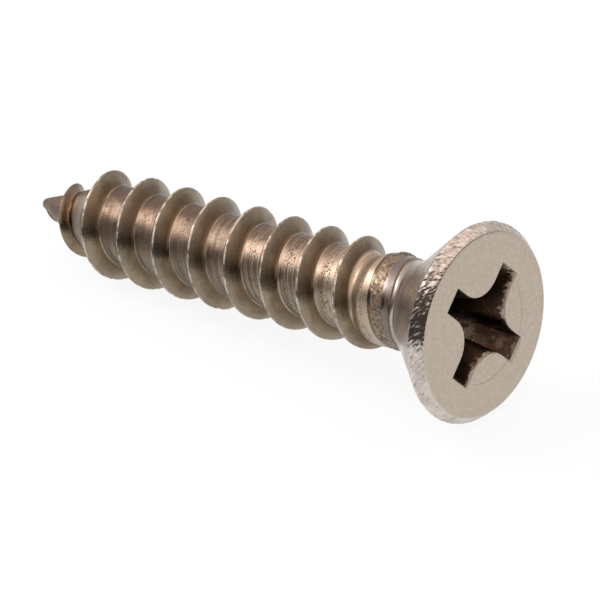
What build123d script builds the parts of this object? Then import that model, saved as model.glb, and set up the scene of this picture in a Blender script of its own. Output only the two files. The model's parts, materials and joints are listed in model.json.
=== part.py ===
from build123d import *
import os
from math import atan, ceil, cos, degrees, pi, radians, sin, tan

# A sheet metal screw: spaced right-hand thread, gimlet point, flat countersunk head and
# cross recess, cold headed and thread rolled from one steel blank.
# It is built upright on +Z, point at the origin and head on top, and then laid on its side
# as it rests on a bench: on the head's rim and on the first full turn of thread.
# Millimetres and degrees. Every driving dimension is written once, here.

# Shank
overall_length = 25.3        # from the flat of the head to the point
core_diameter = 3.50         # at the foot of the thread
point_diameter = 0.40        # of the blunt end of the gimlet point
point_angle = 43.0           # between the sides of the gimlet point's core
point_blend = 1.75           # rounding from the point's sides into the core
blank_diameter = 4.04        # plain collar that the thread rolls leave under the head
collar_length = 1.05         # plain part of that collar
collar_taper = 0.75          # where the collar runs down to the core
collar_step = 0.07           # how far the neck stands in from the collar

# Thread
thread_diameter = 4.84       # over the crests
thread_pitch = 2.07          # crest to crest
flank_angle = 33.0           # of each flank, from square to the axis
crest_width = 0.10           # flat along the crest of a full turn
runout_crest_width = 0.42    # crest widened where the thread runs out
runout_start = 6.9           # last full crest, from the flat of the head
runout_end = 4.15            # where the crest is lost in the collar, from the flat
taper_start = 4.0            # where the crest starts to come down, from the point
point_crest_diameter = 0.90  # over the crest where it starts at the point
lead_in_start = 0.14         # where it starts to rise out of the point, from the point
lead_in = 0.95               # height in which it rises
start_angle = 212.2          # where the crest would pass the point's level
root_depth = 0.20            # how deep the ridge is set in the core
points_per_turn = 12         # along the crest's curve

# Head
head_diameter = 8.84         # over the rim
face_diameter = 8.14         # of the flat
edge_height = 0.44           # of the rounded edge between flat and rim
rim_land = 0.14              # straight height of the rim
cone_angle = 82.0            # of the countersunk underside
neck_length = 0.82           # from the cone's corner down to the collar's edge
neck_straight = 0.04         # of that length that is not hollowed

# Cross recess
recess_span = 5.44           # across two wings, at the flat
recess_root_span = 2.30      # across two wings, at the floor
wing_width = 1.14            # at the flat
wing_root_width = 0.66       # at the floor
wing_angle = 26.5            # of the wings' ends, from the axis
lobe_radius = 1.35           # of the four lobes between the wings, at the flat
lobe_root_radius = 0.35      # of the lobes at the floor
floor_angle = 130.0          # of the shallow cone in the floor
recess_turn = 45.3           # of the wings about the axis

core_radius = core_diameter / 2
point_radius = point_diameter / 2
blank_radius = blank_diameter / 2
thread_radius = thread_diameter / 2
point_crest_radius = point_crest_diameter / 2
head_radius = head_diameter / 2
face_radius = face_diameter / 2
neck_inset = blank_radius - collar_step
point_slope = tan(radians(point_angle / 2))
point_length = (core_radius - point_radius) / point_slope
rim_bottom = overall_length - edge_height - rim_land
cone_bottom = rim_bottom - (head_radius - neck_inset) / tan(radians(cone_angle / 2))
neck_radius = (neck_length - neck_straight) / tan(radians(cone_angle / 4))
collar_top = cone_bottom - neck_length
collar_bottom = collar_top - collar_length
full_thread_top = overall_length - runout_start
ridge_top = overall_length - runout_end
recess_depth = (recess_span - recess_root_span) / 2 / tan(radians(wing_angle))


def turned_blank():
    """Core, gimlet point, collar and head, turned as one profile about the axis."""
    outline = [
        ((0, 0), 0),
        ((point_radius, 0), 0),
        ((core_radius, point_length), point_blend),
        ((core_radius, collar_bottom - collar_taper), 0),
        ((blank_radius, collar_bottom), 0),
        ((blank_radius, collar_top), 0),
        ((neck_inset, collar_top), 0),
        ((neck_inset, cone_bottom), neck_radius),
        ((head_radius, rim_bottom), 0),
        ((head_radius, overall_length - edge_height), edge_height / 2),
        ((face_radius, overall_length), 0),
        ((0, overall_length), 0),
    ]
    corners = [(radius, 0, height) for (radius, height), _ in outline]
    roundings = [rounding for _, rounding in outline[1:-1]]
    side = FilletPolyline(*corners, radius=roundings)
    axis_line = Line(corners[-1], corners[0])
    profile = make_face([*side.edges(), axis_line])
    return revolve(profile, Axis.Z, 360)


def ramp(height, low, high):
    """Share from 0 at low to 1 at high."""
    return min(max((height - low) / (high - low), 0.0), 1.0)


def core_radius_at(height):
    """Radius of the core at a height above the point, without the collar."""
    return min(core_radius, point_radius + height * point_slope)


def crest_radius_at(height):
    """Radius of the crest: full on the shank, lost in the core at both ends."""
    hidden = root_depth / 2
    taper = ramp(height, 0, taper_start)
    on_taper = point_crest_radius + (thread_radius - point_crest_radius) * taper
    buried = core_radius_at(height) - hidden
    rising = ramp(height, lead_in_start, lead_in_start + lead_in)
    at_point = buried + (on_taper - buried) * rising
    fading = ramp(height, full_thread_top, ridge_top) ** 2
    at_head = thread_radius + (neck_inset - hidden - thread_radius) * fading
    return min(at_point, at_head)


def ridge_section(height):
    """Four corners of the thread ridge, cut where its crest passes a height."""
    outer = crest_radius_at(height)
    inner = core_radius_at(height) - root_depth
    widening = ramp(height, full_thread_top, ridge_top)
    half_crest = (crest_width + (runout_crest_width - crest_width) * widening) / 2
    half_foot = half_crest + (outer - inner) * tan(radians(flank_angle))
    corners = [(inner, -half_foot), (outer, -half_crest), (outer, half_crest), (inner, half_foot)]
    angle = radians(start_angle) + 2 * pi * height / thread_pitch
    return [Vector(r * cos(angle), r * sin(angle), height + offset) for r, offset in corners]


def ridge_turn(low, high):
    """Stretch of the ridge between two crest heights: two flanks, crest, foot and two ends."""
    steps = ceil((high - low) / thread_pitch * points_per_turn)
    sections = [ridge_section(low + (high - low) * step / steps) for step in range(steps + 1)]
    edges = [Edge.make_spline([section[corner] for section in sections]) for corner in range(4)]
    sides = [Face.make_surface_from_curves(edges[i], edges[(i + 1) % 4]) for i in range(4)]
    ends = [Face(Wire.make_polygon(section, close=True)) for section in (sections[0], sections[-1])]
    return Solid(Shell(sides + ends))


def thread_ridge():
    """Rolled thread, one turn after another from point to head."""
    turns = ceil((ridge_top - lead_in_start) / thread_pitch)
    rise = (ridge_top - lead_in_start) / turns
    bottoms = [lead_in_start + turn * rise for turn in range(turns)]
    return [ridge_turn(bottom, bottom + rise) for bottom in bottoms]


def cross_section(span, width, lobe, height):
    """Cross of two bars with rounded lobes between its wings."""
    cross = Rectangle(span, width) + Rectangle(width, span)
    inner_corners = cross.vertices().sort_by_distance((0, 0, 0))[:4]
    return Pos(0, 0, height) * fillet(inner_corners, lobe)


def cross_recess():
    """Space that the driver fills: a tapering cross with a shallow cone under it."""
    floor = overall_length - recess_depth
    sections = [
        cross_section(recess_root_span, wing_root_width, lobe_root_radius, floor),
        cross_section(recess_span, wing_width, lobe_radius, overall_length),
    ]
    taper = loft(sections, ruled=True)
    lip = extrude(sections[1], amount=edge_height)
    tip_depth = wing_root_width / 2 / tan(radians(floor_angle / 2))
    drill_tip = Pos(0, 0, floor - tip_depth / 2) * Cone(0, wing_root_width / 2, tip_depth)
    return Rot(0, 0, recess_turn) * (taper + lip + drill_tip)


def resting_contact():
    """Height of the first full crest that meets the bench under the shank."""
    first_pass = -start_angle / 360 * thread_pitch
    turns = ceil((taper_start - first_pass) / thread_pitch)
    return first_pass + turns * thread_pitch


def laid_down(upright):
    """The screw on its side, on rim and first full crest, head towards +X."""
    slope = atan((head_radius - thread_radius) / (rim_bottom - resting_contact()))
    lying = Rot(0, 90 - degrees(slope), 0) * upright
    box = lying.bounding_box()
    return Pos(-box.center().X, -box.center().Y, -box.min.Z) * lying


screw = turned_blank().fuse(*thread_ridge()) - cross_recess()
os.makedirs("parts", exist_ok=True)
export_step(laid_down(screw), "parts/screw.step")
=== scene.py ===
"""The finish of a sheet metal screw: its rolled thread, struck head and worn steel.

The screw is one piece. Its skin is built upright in millimetres, with the point at the origin
and the head on top, and is then laid into the frame, in metres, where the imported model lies.
"""

import json
import logging
import math
from dataclasses import dataclass
from enum import Enum, IntEnum

import bmesh
import bpy
from mathutils import Matrix, Vector, noise


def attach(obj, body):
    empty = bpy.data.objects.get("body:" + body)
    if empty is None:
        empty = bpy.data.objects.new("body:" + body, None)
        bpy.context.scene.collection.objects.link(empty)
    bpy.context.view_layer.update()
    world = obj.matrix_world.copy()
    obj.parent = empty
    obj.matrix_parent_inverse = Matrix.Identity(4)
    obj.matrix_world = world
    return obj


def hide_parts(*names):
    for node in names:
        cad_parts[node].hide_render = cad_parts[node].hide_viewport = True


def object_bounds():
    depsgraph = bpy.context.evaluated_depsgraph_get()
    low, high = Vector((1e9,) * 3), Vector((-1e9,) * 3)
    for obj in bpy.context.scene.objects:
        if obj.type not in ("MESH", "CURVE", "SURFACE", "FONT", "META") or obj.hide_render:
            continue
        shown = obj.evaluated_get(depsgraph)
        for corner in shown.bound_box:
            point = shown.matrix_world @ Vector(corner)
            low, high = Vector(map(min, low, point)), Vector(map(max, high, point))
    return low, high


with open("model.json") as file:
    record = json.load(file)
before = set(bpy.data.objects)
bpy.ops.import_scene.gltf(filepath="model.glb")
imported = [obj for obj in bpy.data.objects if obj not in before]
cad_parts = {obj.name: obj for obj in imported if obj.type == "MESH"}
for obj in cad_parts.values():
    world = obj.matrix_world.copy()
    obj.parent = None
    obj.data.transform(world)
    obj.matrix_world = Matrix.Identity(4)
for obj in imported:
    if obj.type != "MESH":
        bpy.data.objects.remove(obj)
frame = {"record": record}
CAD_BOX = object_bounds()
LOG = logging.getLogger("screw")
MILLIMETRE = 0.001
FULL_TURN = 2 * math.pi
CUT_SLACK = 1e-5  # within which a vertex already lies on a cut, in millimetres
RING_SLACK = 1e-4  # within which a vertex belongs to a ring, in millimetres

Colour = tuple[float, float, float]
Socket = bpy.types.NodeSocket


def ramp(value: float, low: float, high: float) -> float:
    """Share of the way from low to high, kept between 0 and 1."""
    return min(max((value - low) / (high - low), 0.0), 1.0)


def smooth_ramp(value: float, low: float, high: float) -> float:
    """Like ramp, with a soft start and a soft end."""
    share = ramp(value, low, high)
    return share * share * (3 - 2 * share)


def smooth_max(first: float, second: float, blend: float) -> float:
    """The larger of two values, with a fillet of about the size of blend between them."""
    gap = first - second
    return (first + second + math.sqrt(gap * gap + blend * blend)) / 2


def polar(radius: float, angle: float, height: float) -> Vector:
    """Point at a radius and an angle in radians about the screw's axis."""
    return Vector((radius * math.cos(angle), radius * math.sin(angle), height))


def everything(mesh: bmesh.types.BMesh) -> list:
    """All vertices, edges and faces of a mesh."""
    return mesh.verts[:] + mesh.edges[:] + mesh.faces[:]


def copied(mesh: bmesh.types.BMesh, geometry: list) -> list[bmesh.types.BMVert]:
    """Copies some geometry, and gives the vertices of the copy."""
    copy = bmesh.ops.duplicate(mesh, geom=geometry)["geom"]
    return [item for item in copy if isinstance(item, bmesh.types.BMVert)]


def round_corner(
    mesh: bmesh.types.BMesh, corner: bmesh.types.BMVert, reach: float, segments: int
) -> None:
    """Rounds one corner of an outline.

    Args:
        mesh: the mesh that holds the outline.
        corner: the corner's vertex.
        reach: distance from the corner to where the rounding starts.
        segments: pieces that make up the rounding.
    """
    bmesh.ops.bevel(
        mesh,
        geom=[corner],
        affect="VERTICES",
        offset=reach,
        segments=segments,
        profile=0.5,
        material=-1,
    )


def take_in(mesh: bmesh.types.BMesh, part: bmesh.types.BMesh) -> None:
    """Adds a part's skin to a mesh and frees the part.

    Args:
        mesh: the mesh that grows.
        part: the part, which can't be used afterwards.
    """
    data = bpy.data.meshes.new("part")
    part.to_mesh(data)
    part.free()
    mesh.from_mesh(data)
    bpy.data.meshes.remove(data)


@dataclass(frozen=True)
class Span:
    """A stretch with soft ends: it rises over one range of values and falls over another."""

    rise_from: float
    rise_to: float
    fall_from: float
    fall_to: float

    def share(self, value: float) -> float:
        """Share, from 0 to 1, by which a value is inside."""
        rise = smooth_ramp(value, self.rise_from, self.rise_to)
        return rise * (1 - smooth_ramp(value, self.fall_from, self.fall_to))


@dataclass(frozen=True)
class ScrewSizes:
    """Sizes of the upright screw, in millimetres and degrees."""

    overall_length: float = 25.3
    core_radius: float = 1.75
    point_radius: float = 0.20
    point_angle: float = 43.0
    blank_radius: float = 2.02
    collar_length: float = 1.05
    collar_taper: float = 0.75
    collar_step: float = 0.07
    thread_radius: float = 2.42
    pitch: float = 2.07
    flank_angle: float = 33.0
    crest_width: float = 0.04
    runout_crest_width: float = 0.42
    runout_start: float = 6.9
    runout_end: float = 4.15
    taper_start: float = 4.0
    point_crest_radius: float = 0.45
    lead_in_start: float = 0.14
    lead_in: float = 0.95
    start_angle: float = 212.2
    root_depth: float = 0.20
    head_radius: float = 4.418
    face_radius: float = 4.07
    edge_height: float = 0.44
    rim_land: float = 0.14
    cone_angle: float = 82.0
    neck_length: float = 0.82
    neck_straight: float = 0.04
    recess_span: float = 5.44
    recess_root_span: float = 2.30
    wing_width: float = 1.14
    wing_root_width: float = 0.66
    wing_angle: float = 26.5
    lobe_radius: float = 1.35
    lobe_root_radius: float = 0.35
    floor_angle: float = 130.0
    recess_turn: float = 45.3

    @property
    def point_slope(self) -> float:
        """Radius that the point's core gains for each millimetre of height."""
        return math.tan(math.radians(self.point_angle / 2))

    @property
    def neck_radius(self) -> float:
        """Radius of the shank inside the neck, just under the cone."""
        return self.blank_radius - self.collar_step

    @property
    def rim_bottom(self) -> float:
        """Height of the corner between the cone and the rim."""
        return self.overall_length - self.edge_height - self.rim_land

    @property
    def cone_bottom(self) -> float:
        """Height at which the cone's side would meet the neck."""
        rise = (self.head_radius - self.neck_radius) / math.tan(math.radians(self.cone_angle / 2))
        return self.rim_bottom - rise

    @property
    def collar_top(self) -> float:
        """Height of the collar's upper edge."""
        return self.cone_bottom - self.neck_length

    @property
    def collar_bottom(self) -> float:
        """Height at which the collar has its full width."""
        return self.collar_top - self.collar_length

    @property
    def recess_depth(self) -> float:
        """Depth of the recess from the flat to the edge of its floor."""
        run = (self.recess_span - self.recess_root_span) / 2
        return run / math.tan(math.radians(self.wing_angle))


@dataclass(frozen=True)
class Placement:
    """Where the upright screw lies in the frame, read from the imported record's mounts."""

    sizes: ScrewSizes
    mouth_mount: str = "driver_recess"

    def axis(self) -> Vector:
        """Direction from point to head."""
        return Vector(self._mount()["axis"]).normalized()

    def tip(self) -> Vector:
        """Place of the point, in metres."""
        length = self.sizes.overall_length * MILLIMETRE
        return Vector(self._mount()["pos_m"]) - self.axis() * length

    def matrix(self) -> Matrix:
        """Transform from upright millimetres to the frame's metres."""
        return Matrix.Translation(self.tip()) @ self.turn().to_4x4() @ Matrix.Scale(MILLIMETRE, 4)

    def turn(self) -> Matrix:
        """Works out how the screw is laid down.

        Returns:
            The rotation from upright to lying.
        """
        along = self.axis()
        across = Vector((0, 1, 0))
        down = across.cross(along)
        return Matrix((down, across, along)).transposed()

    def _mount(self) -> dict:
        """The record's mount at the mouth of the recess."""
        mounts = frame["record"]["mounts"]
        return next(mount for mount in mounts if mount["name"] == self.mouth_mount)


class Zone(IntEnum):
    """Stretches of the skin, each with a finish of its own. The value is the material's slot."""

    THREAD = 0
    NECK = 1
    RIM = 2
    FLAT = 3
    RECESS = 4


@dataclass(frozen=True)
class CollarEdge:
    """The collar's upper edge, which heading has pushed towards the head on one side."""

    sizes: ScrewSizes
    push: float = 0.60
    side: Span = Span(150.0, 250.0, 305.0, 350.0)  # degrees about the axis
    reach_below: float = 0.75
    reach_above: float = 1.15
    full_reach: float = 0.05

    def height(self, angle: float, height: float) -> float:
        """Height to which a point of the collar or neck is pushed.

        Args:
            angle: about the axis, in radians.
            height: of the point on an even collar.

        Returns:
            The height on the real one.
        """
        edge = self.sizes.collar_top
        near = Span(
            edge - self.reach_below,
            edge - self.full_reach,
            edge + self.full_reach,
            edge + self.reach_above,
        )
        side = self.side.share(math.degrees(angle) % 360)
        return height + self.push * side * near.share(height)


@dataclass(frozen=True)
class ThreadForm:
    """The shank's surface, as a radius at every angle and height.

    Every angle here is in radians about the axis, and every length in millimetres.
    """

    sizes: ScrewSizes
    foot_fillet: float = 0.04
    crest_rounding: float = 0.02
    point_blend: float = 0.10
    tip_rounding: float = 0.12
    runout_stand: float = 0.04
    stand_below: float = 0.3
    stand_above: float = 0.35
    collar_reach: float = 0.2
    least_ridge: float = 0.1

    def lead_offset(self, angle: float, height: float) -> float:
        """Finds where a point is between two passes of the crest.

        Args:
            angle: of the point about the axis.
            height: of the point.

        Returns:
            Its height above the nearest pass, up to half a pitch, or below 0 when it is lower.
        """
        ahead = angle - math.radians(self.sizes.start_angle)
        turns = height / self.sizes.pitch - ahead / FULL_TURN
        return (turns - math.floor(turns + 0.5)) * self.sizes.pitch

    def core_radius_at(self, height: float) -> float:
        """Radius of the core, with the point's cone below and the collar above.

        Args:
            height: above the point.

        Returns:
            The radius there, without the thread.
        """
        s = self.sizes
        taper_bottom = s.collar_bottom - s.collar_taper
        if height > taper_bottom:
            rise = smooth_ramp(height, taper_bottom, s.collar_bottom)
            core = s.core_radius + (s.blank_radius - s.core_radius) * rise
        else:
            cone = s.point_radius + height * s.point_slope
            core = -smooth_max(-cone, -s.core_radius, self.point_blend)
        if height < self.tip_rounding:
            drop = self.tip_rounding - height
            core -= self.tip_rounding - math.sqrt(max(self.tip_rounding ** 2 - drop ** 2, 0.0))
        return core

    def _runout(self, height: float) -> float:
        """Share of the way through the thread's run-out under the head."""
        s = self.sizes
        return ramp(height, s.overall_length - s.runout_start, s.overall_length - s.runout_end)

    def crest_radius_at(self, height: float) -> float:
        """Radius of the crest: full on the shank, lost in the core at both ends.

        Args:
            height: at which the crest passes.

        Returns:
            The radius there.
        """
        s = self.sizes
        hidden = s.root_depth / 2
        taper = ramp(height, 0, s.taper_start)
        on_taper = s.point_crest_radius + (s.thread_radius - s.point_crest_radius) * taper
        buried = min(s.core_radius, s.point_radius + height * s.point_slope) - hidden
        rising = ramp(height, s.lead_in_start, s.lead_in_start + s.lead_in)
        at_point = buried + (on_taper - buried) * rising
        fading = self._runout(height) ** 2
        at_head = s.thread_radius + (s.neck_radius - hidden - s.thread_radius) * fading
        ending = smooth_ramp(
            height, s.collar_top - self.stand_below, s.collar_top + self.stand_above
        )
        stand = self.runout_stand * (1 - ending)
        low, high = s.collar_bottom - self.collar_reach, s.collar_bottom + self.collar_reach
        at_head = max(at_head, s.blank_radius * smooth_ramp(height, low, high) + stand)
        return min(at_point, at_head)

    def half_crest_at(self, height: float) -> float:
        """Half the width of the crest, which the rolls leave wider where the thread runs out."""
        s = self.sizes
        return (s.crest_width + (s.runout_crest_width - s.crest_width) * self._runout(height)) / 2

    def radius(self, angle: float, height: float) -> float:
        """Radius of the unworn surface.

        Args:
            angle: about the axis.
            height: above the point.

        Returns:
            The radius of thread or core, whichever stands out further.
        """
        offset = self.lead_offset(angle, height)
        crest_height = height - offset
        over = abs(offset) - self.half_crest_at(crest_height)
        fall = (over + math.sqrt(over * over + self.crest_rounding ** 2)) / 2
        drop = fall / math.tan(math.radians(self.sizes.flank_angle))
        flank = self.crest_radius_at(crest_height) - drop
        return smooth_max(self.core_radius_at(height), flank, self.foot_fillet)

    def ridge_share(self, radius: float, height: float) -> float:
        """Height of a point on the thread, from 0 at the root to 1 at a full crest."""
        core = self.core_radius_at(height)
        return ramp(radius, core, max(self.sizes.thread_radius, core + self.least_ridge))


@dataclass(frozen=True)
class ShankWear:
    """Marks that rolling and handling leave on the shank, as changes of radius in millimetres."""

    form: ThreadForm
    ripple: float = 0.006
    ripple_density: float = 1.6
    nick_depth: float = 0.03
    nick_spacing: float = 0.55
    nick_density: float = 1.7
    fold_height: float = 0.018
    fold_width: float = 0.035
    fold_density: float = 0.5
    bead_height: float = 0.018
    bead_width: float = 0.03
    bead_density: float = 0.7
    pit_depth: float = 0.05
    pit_size: float = 0.11
    pit_reach: float = 0.16
    pit_limit: float = 0.30

    def change(self, angle: float, height: float, radius: float) -> float:
        """Change of radius at a point of the shank.

        Args:
            angle: about the axis, in radians.
            height: above the point.
            radius: of the unworn surface.

        Returns:
            The change, positive outwards.
        """
        place = polar(radius, angle, height)
        offset = self.form.lead_offset(angle, height)
        share = self.form.ridge_share(radius, height)
        change = self.ripple * noise.noise(place * self.ripple_density)
        change -= self._nick(place, share)
        change += self._fold(place, offset, share)
        change += self._bead(place, offset, height)
        change -= self._pit(place, height, offset)
        return change

    def _nick(self, place: Vector, share: float) -> float:
        """Depth of the small dents along the crest."""
        dent = smooth_ramp(noise.noise(place / self.nick_spacing * self.nick_density), 0.28, 0.62)
        return self.nick_depth * dent * ramp(share, 0.75, 0.97)

    def _fold(self, place: Vector, offset: float, share: float) -> float:
        """Height of the fine line halfway between two crests, where the rolls' teeth meet.

        Args:
            place: of the point.
            offset: from the nearest crest, along the axis.
            share: of the thread's height that the point has.

        Returns:
            The height.
        """
        reach = self.form.sizes.pitch / 2 - abs(offset)
        line = math.exp(-((reach / self.fold_width) ** 2))
        broken = smooth_ramp(noise.noise(place * self.fold_density), -0.3, 0.3)
        return self.fold_height * line * (1 - share) * broken

    def _bead(self, place: Vector, offset: float, height: float) -> float:
        """Height of the thin bead where the foot of each flank meets the root.

        Args:
            place: of the point.
            offset: from the nearest crest, along the axis.
            height: above the screw's point.

        Returns:
            The height.
        """
        half_crest = self.form.half_crest_at(height - offset)
        rise = self.form.crest_radius_at(height - offset) - self.form.core_radius_at(height)
        foot = half_crest + rise * math.tan(math.radians(self.form.sizes.flank_angle))
        line = math.exp(-(((abs(offset) - foot - self.bead_width) / self.bead_width) ** 2))
        broken = smooth_ramp(noise.noise(place * self.bead_density), -0.4, 0.3)
        return self.bead_height * line * broken

    def _pit(self, place: Vector, height: float, offset: float) -> float:
        """Depth of the coarse pits on the run-out of the thread.

        Args:
            place: of the point.
            height: above the screw's point.
            offset: from the nearest crest, along the axis.

        Returns:
            The depth.
        """
        collar = self.form.sizes.collar_bottom
        on_runout = smooth_ramp(height, collar - 0.3, collar + 0.4)
        band = on_runout * (1 - smooth_ramp(abs(offset), self.pit_reach, self.pit_limit))
        pits = smooth_ramp(noise.noise(place / self.pit_size), -0.05, 0.5)
        return self.pit_depth * band * pits


@dataclass
class Shank:
    """Core, point, thread and collar: a profile of one pitch, spun with a lead into one skin."""

    form: ThreadForm
    wear: ShankWear
    collar_edge: CollarEdge
    columns: int = 168
    crest_cuts: int = 2
    flank_cuts: int = 6
    foot_cuts: int = 2
    root_cuts: int = 4
    foot_reach: float = 0.09
    merge_distance: float = 0.002
    tip_rings: tuple[float, ...] = (0.02, 0.05, 0.09)
    top_margin: float = 0.035
    tip_bend: float = 0.06
    tip_bend_reach: float = 1.6
    tip_bend_angle: float = 148.8
    tip_fade: float = 0.4
    top_fade: float = 0.05

    @property
    def top(self) -> float:
        """Height at which the shank's skin is joined to the head's."""
        return self.form.sizes.collar_top - self.top_margin

    def build(self) -> bmesh.types.BMesh:
        """Builds the shank.

        Returns:
            A mesh in upright millimetres, open at the top.
        """
        mesh = bmesh.new()
        self._spin_profile(mesh)
        self._trim(mesh)
        self._roll(mesh)
        self._close_tip(mesh)
        LOG.info("shank: %d faces in %d columns a turn", len(mesh.faces), self.columns)
        return mesh

    def _spin_profile(self, mesh: bmesh.types.BMesh) -> None:
        """Spins the profile of one thread up the shank, one pitch a turn.

        Args:
            mesh: the empty mesh that receives it.
        """
        s = self.form.sizes
        first_crest = -s.start_angle / 360 * s.pitch
        first_crest -= s.pitch * math.ceil((first_crest + s.pitch / 2) / s.pitch)
        half_crest = s.crest_width / 2
        flank = (s.thread_radius - s.core_radius) * math.tan(math.radians(s.flank_angle))
        foot = half_crest + flank
        stations = (
            (-s.pitch / 2, s.core_radius, self.root_cuts),
            (-foot - self.foot_reach, s.core_radius, self.foot_cuts),
            (-foot + self.foot_reach, s.core_radius, self.flank_cuts),
            (-half_crest, s.thread_radius, self.crest_cuts),
            (half_crest, s.thread_radius, self.flank_cuts),
            (foot - self.foot_reach, s.core_radius, self.foot_cuts),
            (foot + self.foot_reach, s.core_radius, self.root_cuts),
            (s.pitch / 2, s.core_radius, 0),
        )
        chain = [mesh.verts.new((radius, 0, first_crest + lift)) for lift, radius, _ in stations]
        sides = [mesh.edges.new(pair) for pair in zip(chain, chain[1:])]
        for side, (_, _, cuts) in zip(sides, stations):
            bmesh.ops.subdivide_edges(mesh, edges=[side], cuts=cuts)
        turns = math.ceil((self.top - first_crest) / s.pitch + 0.5)
        bmesh.ops.spin(
            mesh,
            geom=mesh.verts[:] + mesh.edges[:],
            axis=(0, 0, 1),
            dvec=(0, 0, s.pitch / self.columns),
            angle=FULL_TURN,
            steps=self.columns,
        )
        turn = everything(mesh)
        for count in range(1, turns):
            bmesh.ops.translate(mesh, verts=copied(mesh, turn), vec=(0, 0, count * s.pitch))
        bmesh.ops.remove_doubles(mesh, verts=mesh.verts[:], dist=self.merge_distance)

    def _trim(self, mesh: bmesh.types.BMesh) -> None:
        """Cuts the skin off at the tip and at the top, and cuts rings for the tip's rounding.

        Args:
            mesh: the spun thread.
        """
        self._cut(mesh, 0, clear_inner=True)
        self._cut(mesh, self.top, clear_outer=True)
        for height in self.tip_rings:
            self._cut(mesh, height)

    @staticmethod
    def _cut(mesh: bmesh.types.BMesh, height: float, **clear: bool) -> None:
        """Cuts a level ring of edges.

        Args:
            mesh: the mesh that is cut.
            height: of the ring.
            **clear: clear_inner or clear_outer, to clear what is below or above.
        """
        bmesh.ops.bisect_plane(
            mesh,
            geom=everything(mesh),
            dist=CUT_SLACK,
            plane_co=(0, 0, height),
            plane_no=(0, 0, 1),
            **clear,
        )

    def _roll(self, mesh: bmesh.types.BMesh) -> None:
        """Gives each vertex the radius of the rolled and worn surface, and bends the tip.

        Args:
            mesh: the trimmed thread.
        """
        worn = Span(0.0, self.tip_fade, self.top - self.top_fade, self.top)
        bend_angle = math.radians(self.tip_bend_angle)
        for vertex in mesh.verts:
            angle = math.atan2(vertex.co.y, vertex.co.x)
            fade = worn.share(vertex.co.z)
            height = self.collar_edge.height(angle, vertex.co.z)
            radius = self.form.radius(angle, height)
            radius += self.wear.change(angle, height, radius) * fade
            bend = self.tip_bend * (1 - smooth_ramp(height, 0.0, self.tip_bend_reach))
            vertex.co = polar(radius, angle, height) + polar(bend, bend_angle, 0)

    def _close_tip(self, mesh: bmesh.types.BMesh) -> None:
        """Closes the blunt end of the point.

        Args:
            mesh: the shank, open at the tip.
        """
        highest = self.tip_rings[0] / 2
        rim = [edge for edge in mesh.edges if edge.is_boundary and edge.verts[0].co.z < highest]
        cap = bmesh.ops.edgeloop_fill(mesh, edges=rim)["faces"]
        bmesh.ops.poke(mesh, faces=cap)


@dataclass(frozen=True)
class RimWear:
    """Rough texture that heading leaves on the rim, as changes of place in millimetres."""

    sizes: ScrewSizes
    depth: float = 0.035
    coarse: float = 0.16
    fine: float = 0.07
    fine_share: float = 0.35
    level: float = 0.25
    octaves: int = 2

    def change(self, place: Vector) -> float:
        """Depth of the texture at a point of the head's outer skin.

        Args:
            place: of the point.

        Returns:
            The depth, which is 0 away from the rim.
        """
        s = self.sizes
        radius = math.hypot(place.x, place.y)
        on_rim = smooth_ramp(radius, s.head_radius - 0.35, s.head_radius - 0.12)
        below_flat = 1 - smooth_ramp(place.z, s.overall_length - 0.10, s.overall_length - 0.02)
        coarse = noise.turbulence(place / self.coarse, self.octaves, False)
        fine = noise.noise(place / self.fine)
        rough = max(coarse + self.fine_share * fine + self.level, 0.0)
        return self.depth * on_rim * below_flat * rough


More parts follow.
